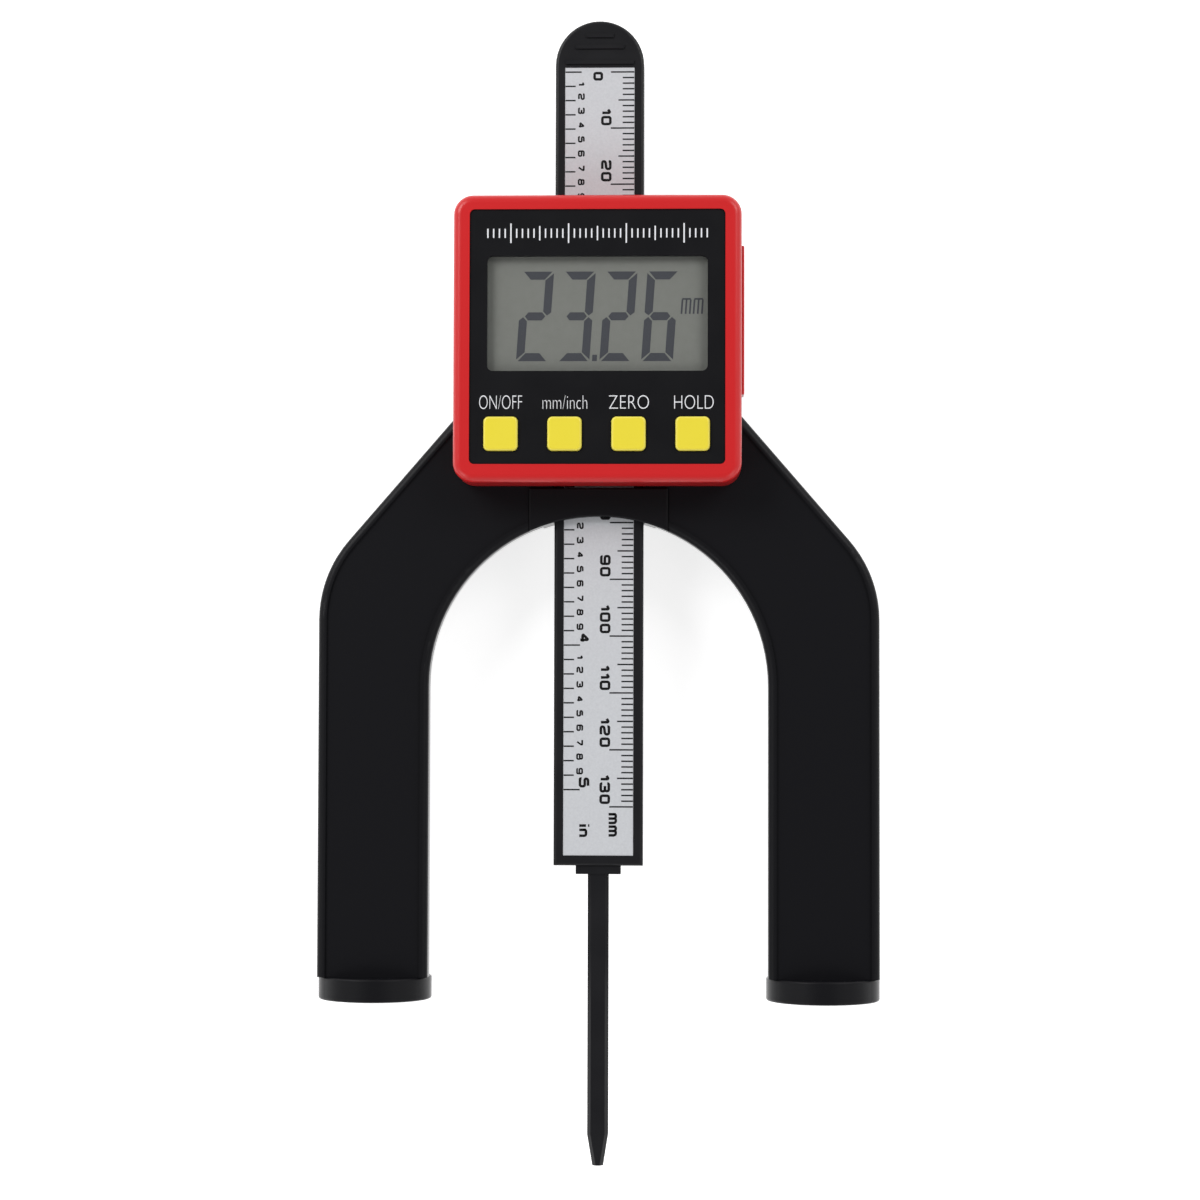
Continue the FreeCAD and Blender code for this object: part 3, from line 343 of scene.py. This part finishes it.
# Square-cut figures of the scale on a field one high: width, then the lines of the stroke
FIGURES = {
    "0": (0.86, [[(0, 0), (0.86, 0), (0.86, 1), (0, 1), (0, 0)]]),
    "1": (0.42, [[(0, 0.72), (0.42, 1), (0.42, 0)]]),
    "2": (0.95, [[(0, 0.8), (0, 1), (0.95, 1), (0.95, 0.52), (0, 0.4), (0, 0), (0.95, 0)]]),
    "3": (0.95, [[(0, 0.8), (0, 1), (0.92, 1), (0.92, 0.52), (0.3, 0.52)],
                 [(0.5, 0.52), (0.95, 0.52), (0.95, 0), (0, 0), (0, 0.2)]]),
    "4": (0.95, [[(0.72, 0), (0.72, 1), (0, 0.28), (0.95, 0.28)]]),
    "5": (0.95, [[(0.9, 1), (0.05, 1), (0, 0.58), (0.95, 0.6), (0.95, 0), (0, 0), (0, 0.2)]]),
    "6": (0.95, [[(0.9, 0.82), (0.9, 1), (0, 1), (0, 0), (0.95, 0), (0.95, 0.56), (0, 0.56)]]),
    "7": (0.9, [[(0, 1), (0.9, 1), (0.9, 0.8), (0.35, 0)]]),
    "8": (0.95, [[(0.05, 0.54), (0.9, 0.54), (0.9, 1), (0.05, 1), (0.05, 0.54)],
                 [(0, 0), (0.95, 0), (0.95, 0.54), (0, 0.54), (0, 0)]]),
    "9": (0.95, [[(0.05, 0.18), (0.05, 0), (0.95, 0), (0.95, 1), (0, 1), (0, 0.44), (0.95, 0.44)]]),
    "m": (0.87, [[(0, 0), (0, 0.72)], [(0, 0.4), (0, 0.72), (0.43, 0.72), (0.43, 0)],
                 [(0.43, 0.4), (0.43, 0.72), (0.87, 0.72), (0.87, 0)]]),
    "i": (0, [[(0, 0), (0, 0.72)], [(0, 0.93), (0, 1.08)]]),
    "n": (0.62, [[(0, 0), (0, 0.72)], [(0, 0.4), (0, 0.72), (0.62, 0.72), (0.62, 0)]]),
}
CORNER_RADIUS = 0.2
CORNER_PULL = 0.55


def draw_stroke(curve, corners, radius):
    """A line through corners that are rounded off, closed where the last corner is the first."""
    points = [Vector(corner).to_3d() for corner in corners]
    closed = points[0] == points[-1]
    if closed:
        points.pop()
    steps = []
    for index, here in enumerate(points):
        if not closed and index in (0, len(points) - 1):
            steps.append((here, here, here))
            continue
        before = points[index - 1] - here
        after = points[(index + 1) % len(points)] - here
        reach = min(radius, before.length / 2, after.length / 2)
        first = here + before.normalized() * reach
        last = here + after.normalized() * reach
        steps.append((first, first, first.lerp(here, CORNER_PULL)))
        steps.append((last.lerp(here, CORNER_PULL), last, last))
    spline = curve.splines.new("BEZIER")
    spline.bezier_points.add(len(steps) - 1)
    spline.use_cyclic_u = closed
    for point, (left, middle, right) in zip(spline.bezier_points, steps):
        point.handle_left_type = point.handle_right_type = "FREE"
        point.handle_left, point.co, point.handle_right = left, middle, right


def draw_figures(curve, text, left, start, height, spacing=0):
    """Adds a row of figures that starts at a height and reads down along the beam, feet to the left."""
    pen = start
    for sign in text:
        width, lines = FIGURES[sign]
        for line in lines:
            corners = [((left + y * height) * MM, (pen - x * height) * MM) for x, y in line]
            draw_stroke(curve, corners, height * CORNER_RADIUS * MM)
        pen -= width * height + spacing


def draw_above(curve, text, left, end, height, spacing=0):
    """Adds a row of figures that reads down along the beam and ends at a height, just above its tick."""
    length = sum(FIGURES[sign][0] * height for sign in text) + spacing * (len(text) - 1)
    draw_figures(curve, text, left, end + length, height, spacing)


def inked_mesh(curve, stroke, level, thickness):
    """The mesh of drawn lines, pressed flat to the thickness of ink on a level."""
    curve.dimensions = "3D"
    curve.fill_mode = "FULL"
    curve.bevel_depth = stroke / 2 * MM
    curve.bevel_resolution = 1
    curve.resolution_u = 3
    curve.use_fill_caps = True
    mesh = mesh_drawn_by(curve)
    flatten = Matrix.Diagonal((1, 1, 2 * thickness / stroke, 1))
    mesh.transform(Matrix.Translation((0, 0, level * MM)) @ flatten)
    return mesh


# Print on the scale: millimetres from the right edge, tenths of an inch from the left
INCH = 25.4
PRINT_THICKNESS = 0.015
TICK_WIDTH = 0.25
TICK_INSET = 0.05
ZERO_BELOW_TOP = 0.77
SCALE_LENGTH = 130
TEN_TICK = 4.15
FIVE_TICK = 2.8
MM_TICK = 2.05
INCHES = 5
INCH_TICK = 2.85
TENTH_TICK = 1.8

plate_low, plate_high = (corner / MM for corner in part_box("scale_plate"))
scale_level = plate_high.z
scale_zero = plate_high.y - ZERO_BELOW_TOP
right_edge = plate_high.x - TICK_INSET
left_edge = plate_low.x + TICK_INSET

mm_ticks = []
for mark in range(SCALE_LENGTH + 1):
    reach = graduated(mark, TEN_TICK, FIVE_TICK, MM_TICK)
    y = scale_zero - mark
    mm_ticks.append(rectangle(right_edge - reach, right_edge, y - TICK_WIDTH / 2, y + TICK_WIDTH / 2))
ticks = plates(mm_ticks, scale_level, PRINT_THICKNESS)
new_piece("scale_ticks_mm", ticks, INK_BLACK, BEAM_BODY)

inch_ticks = []
for tenth in range(INCHES * 10 + 1):
    reach = graduated(tenth, INCH_TICK, TENTH_TICK, TENTH_TICK)
    y = scale_zero - tenth * INCH / 10
    inch_ticks.append(rectangle(left_edge, left_edge + reach, y - TICK_WIDTH / 2, y + TICK_WIDTH / 2))
ticks = plates(inch_ticks, scale_level, PRINT_THICKNESS)
new_piece("scale_ticks_inch", ticks, INK_BLACK, BEAM_BODY)

# Figures beside the ticks, each row ending a little above its tick
LARGE_HEIGHT = 1.42
LARGE_STROKE = 0.47
LARGE_SPACING = 0.78
SMALL_HEIGHT = 0.9
SMALL_STROKE = 0.31
MM_FIGURES_LEFT = 0.45
MM_FIGURES_RISE = 0.72
INCH_FIGURES_LEFT = -3.2
INCH_FIGURES_RISE = 0.6
TENTH_FIGURES_LEFT = -3.72
TENTH_FIGURES_RISE = 0.28

large = bpy.data.curves.new("large_figures", "CURVE")
draw_figures(large, "0", left=-0.95, start=scale_zero - 0.2, height=1.28)
for mark in range(10, SCALE_LENGTH + 1, 10):
    end = scale_zero - mark + MM_FIGURES_RISE
    draw_above(large, str(mark), MM_FIGURES_LEFT, end, LARGE_HEIGHT, LARGE_SPACING)
for inch in range(1, INCHES + 1):
    end = scale_zero - inch * INCH + INCH_FIGURES_RISE
    draw_above(large, str(inch), INCH_FIGURES_LEFT, end, LARGE_HEIGHT)
draw_figures(large, "mm", left=1.85, start=scale_zero - 131.3, height=1.75, spacing=0.65)
draw_figures(large, "in", left=-3.3, start=scale_zero - 133.3, height=1.65, spacing=0.75)

small = bpy.data.curves.new("small_figures", "CURVE")
for tenth in range(1, INCHES * 10):
    if tenth % 10:
        end = scale_zero - tenth * INCH / 10 + TENTH_FIGURES_RISE
        draw_above(small, str(tenth % 10), TENTH_FIGURES_LEFT, end, SMALL_HEIGHT)
figures = merged([
    inked_mesh(large, LARGE_STROKE, scale_level, PRINT_THICKNESS),
    inked_mesh(small, SMALL_STROKE, scale_level, PRINT_THICKNESS),
])
new_piece("scale_figures", figures, INK_BLACK, BEAM_BODY)

# Print on the face plate: a caption over each button, from its left to its right end
CAPTIONS = [
    ("ON/OFF", -20.4, -12.97),
    ("mm/inch", -9.42, -1.7),
    ("ZERO", 2.06, 8.97),
    ("HOLD", 13.33, 20.14),
]
CAPTION_LOW = -12.35
CAPTION_HIGH = -9.98

face_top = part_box("face_plate")[1].z / MM
case_low, case_high = (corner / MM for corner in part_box("display_case"))
case_y = (case_low.y + case_high.y) / 2
captions = merged([
    word_mesh(text, left, right, case_y + CAPTION_LOW, case_y + CAPTION_HIGH, face_top, PRINT_THICKNESS)
    for text, left, right in CAPTIONS
])
new_piece("button_captions", captions, INK_WHITE, FRAME_BODY)

# A plain graduated row above the display, with its longest lines 5 and 15 mm from the middle
ROW_REACH = 19
ROW_SHIFT = 5
ROW_RISE = 18.2
ROW_LINE_WIDTH = 0.24
LONG_LINE = 3.4
MIDDLE_LINE = 2.5
SHORT_LINE = 1.6

row_lines = []
row_y = case_y + ROW_RISE
for x in range(-ROW_REACH, ROW_REACH + 1):
    half = graduated(x + ROW_SHIFT, LONG_LINE, MIDDLE_LINE, SHORT_LINE) / 2
    row_lines.append(rectangle(x - ROW_LINE_WIDTH / 2, x + ROW_LINE_WIDTH / 2, row_y - half, row_y + half))
lines = plates(row_lines, face_top, PRINT_THICKNESS)
new_piece("face_row_marks", lines, INK_WHITE, FRAME_BODY)

# Digits of the display
READING = "2326"
DIGITS_LEFT = -14.15
DIGITS_LOW = -3.87
DIGIT_WIDTH = 5.5
DIGIT_HEIGHT = 15.6
DIGIT_STEP = 7.24
DIGIT_LEAN = 0.07
SEGMENT_WIDTH = 1.4
SEGMENT_GAP = 0.14
SEGMENT_THICKNESS = 0.02
LIT_SEGMENTS = {"2": "abged", "3": "abgcd", "6": "afgedc"}
POINT_LEFT = -0.94
POINT_WIDTH = 0.82
POINT_HEIGHT = 1.1
POINT_LEAN = 0.06
UNIT_LETTERS_LEFT = (14.4, 16.5)
UNIT_LOW = 4.33
UNIT_STROKE = 0.3
UNIT_STEM_STEP = 0.72
UNIT_STEM_HEIGHT = 2.5
UNIT_BAR_LEFT = 0.1
UNIT_BAR_LENGTH = 1.5
UNIT_BAR_LOW = 2.45


def segment_outlines():
    """Corners of the seven bars of a digit, upright, by their usual letters."""
    wide, high, gap = DIGIT_WIDTH, DIGIT_HEIGHT, SEGMENT_GAP
    thick, half_thick, half = SEGMENT_WIDTH, SEGMENT_WIDTH / 2, DIGIT_HEIGHT / 2
    near, far = thick + gap, wide - thick - gap
    top = [(2 * gap, high), (wide - 2 * gap, high), (far, high - thick), (near, high - thick)]
    middle = [(half_thick + 2 * gap, half), (near, half + half_thick), (far, half + half_thick),
              (wide - half_thick - 2 * gap, half), (far, half - half_thick), (near, half - half_thick)]
    right = [(wide, high - 2 * gap), (wide - thick, high - thick - gap),
             (wide - thick, half + half_thick + gap), (wide - half_thick, half + gap),
             (wide, half + half_thick)]
    shapes = {"a": top, "g": middle, "b": right}
    shapes["d"] = [(x, high - y) for x, y in reversed(top)]
    shapes["c"] = [(x, high - y) for x, y in reversed(right)]
    shapes["f"] = [(wide - x, y) for x, y in reversed(right)]
    shapes["e"] = [(wide - x, high - y) for x, y in right]
    return shapes


def leaning(corners, left, low):
    """Corners set at a place, each further to the right the higher it stands."""
    return [(left + x + y * DIGIT_LEAN, low + y) for x, y in corners]


glass_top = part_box("lcd_glass")[1].z / MM
digits_y = case_y + DIGITS_LOW
unit_y = case_y + UNIT_LOW
segments = segment_outlines()
shown = []
for place, digit in enumerate(READING):
    for letter in LIT_SEGMENTS[digit]:
        shown.append(leaning(segments[letter], DIGITS_LEFT + place * DIGIT_STEP, digits_y))
point_right = POINT_LEFT + POINT_WIDTH
shown.append([
    (POINT_LEFT, digits_y), (point_right, digits_y),
    (point_right + POINT_LEAN, digits_y + POINT_HEIGHT), (POINT_LEFT + POINT_LEAN, digits_y + POINT_HEIGHT),
])
for left in UNIT_LETTERS_LEFT:
    for stem in range(3):
        x = stem * UNIT_STEM_STEP
        shown.append(leaning(rectangle(x, x + UNIT_STROKE, 0, UNIT_STEM_HEIGHT), left, unit_y))
    bar_right = UNIT_BAR_LEFT + UNIT_BAR_LENGTH
    bar = rectangle(UNIT_BAR_LEFT, bar_right, UNIT_BAR_LOW, UNIT_BAR_LOW + UNIT_STROKE)
    shown.append(leaning(bar, left, unit_y))
digits = plates(shown, glass_top, SEGMENT_THICKNESS)
new_piece("display_digits", digits, DARK_CRYSTAL, FRAME_BODY)

# Floor, room and lamps, in metres
FLOOR_REACH = 4
FLOOR_GLOW = 0.72
WALL_LIGHT = 0.85
CEILING_LIGHT = 0.2
LAMP_DISTANCE = 0.9
LAMP_ELEVATION = 42
LAMP_SIZE = 0.4


def floor_paper():
    """White paper that keeps the gauge's shadow, lifted to white for the camera and for reflections only."""
    material = bpy.data.materials.new("white_paper_floor")
    material.use_nodes = True
    tree = material.node_tree
    tree.nodes.clear()
    paper = add(tree, "ShaderNodeBsdfDiffuse", {"Color": linear("eeeeee")})
    path = add(tree, "ShaderNodeLightPath")
    seen = add(tree, "ShaderNodeMath", {
        0: path.outputs["Is Camera Ray"], 1: path.outputs["Is Glossy Ray"],
    }, operation="MAXIMUM")
    seen = add(tree, "ShaderNodeMath", {
        0: seen.outputs["Value"], 1: path.outputs["Is Transmission Ray"],
    }, operation="MAXIMUM")
    lift = add(tree, "ShaderNodeMath", {0: seen.outputs["Value"], 1: FLOOR_GLOW}, operation="MULTIPLY")
    glow = add(tree, "ShaderNodeEmission", {"Color": (1, 1, 1, 1), "Strength": lift.outputs["Value"]})
    both = add(tree, "ShaderNodeAddShader", {0: paper.outputs["BSDF"], 1: glow.outputs["Emission"]})
    add(tree, "ShaderNodeOutputMaterial", {"Surface": both.outputs["Shader"]})
    return material


def lay_floor():
    """A flat white floor under the gauge, which isn't part of it."""
    shape = bmesh.new()
    bmesh.ops.create_grid(shape, x_segments=1, y_segments=1, size=FLOOR_REACH)
    mesh = mesh_of(shape, "floor")
    mesh.materials.append(floor_paper())
    floor = bpy.data.objects.new("floor", mesh)
    bpy.context.scene.collection.objects.link(floor)


def light_room():
    """A pale room whose ceiling is darker than its walls."""
    world = bpy.data.worlds.new("studio")
    bpy.context.scene.world = world
    world.use_nodes = True
    tree = world.node_tree
    tree.nodes.clear()
    direction = add(tree, "ShaderNodeTexCoord").outputs["Generated"]
    height = add(tree, "ShaderNodeSeparateXYZ", {"Vector": direction}).outputs["Z"]
    fade = add(tree, "ShaderNodeMapRange", {
        "Value": height, "From Min": 0.3, "From Max": 0.8, "To Min": WALL_LIGHT, "To Max": CEILING_LIGHT,
    }, interpolation_type="SMOOTHSTEP")
    sky = add(tree, "ShaderNodeBackground", {"Color": (1, 1, 1, 1), "Strength": fade.outputs["Result"]})
    add(tree, "ShaderNodeOutputWorld", {"Surface": sky.outputs["Background"]})


def hang_lamp(name, azimuth, power):
    """A square soft lamp that looks at the gauge's middle. Its azimuth runs from the head to the right."""
    lamp = bpy.data.lights.new(name, "AREA")
    lamp.shape = "SQUARE"
    lamp.size = LAMP_SIZE
    lamp.energy = power
    holder = bpy.data.objects.new(name, lamp)
    bpy.context.scene.collection.objects.link(holder)
    turn = math.radians(azimuth)
    rise = math.radians(LAMP_ELEVATION)
    away = Vector((math.sin(turn) * math.cos(rise), math.cos(turn) * math.cos(rise), math.sin(rise)))
    holder.location = away * LAMP_DISTANCE
    holder.rotation_mode = "QUATERNION"
    holder.rotation_quaternion = away.to_track_quat("Z", "Y")


lay_floor()
light_room()
hang_lamp("lamp_upper_left", -50, 3.2)
hang_lamp("lamp_upper_right", 50, 2.0)
hang_lamp("lamp_lower_left", -130, 1.1)
hang_lamp("lamp_lower_right", 130, 0.8)

# Camera above the gauge, in metres and radians: nearly upright, a little to the right and towards the probe
CAMERA_PLACE = (0.0171097, -0.0210401, 0.532325)
CAMERA_TURN_X = 0.0371195
CAMERA_TURN_Y = 0.0325196
CAMERA_TURN_Z = 0.0012891

camera = bpy.data.cameras.new("camera")
camera.sensor_width = 36
camera.lens = 88.381
camera.clip_start = 0.01
camera_holder = bpy.data.objects.new("camera", camera)
bpy.context.scene.collection.objects.link(camera_holder)
turned = (
    Matrix.Rotation(CAMERA_TURN_X, 4, "X")
    @ Matrix.Rotation(CAMERA_TURN_Y, 4, "Y")
    @ Matrix.Rotation(CAMERA_TURN_Z, 4, "Z")
)
camera_holder.matrix_world = Matrix.Translation(CAMERA_PLACE) @ turned
bpy.context.scene.camera = camera_holder
bpy.context.scene.view_settings.view_transform = "Standard"
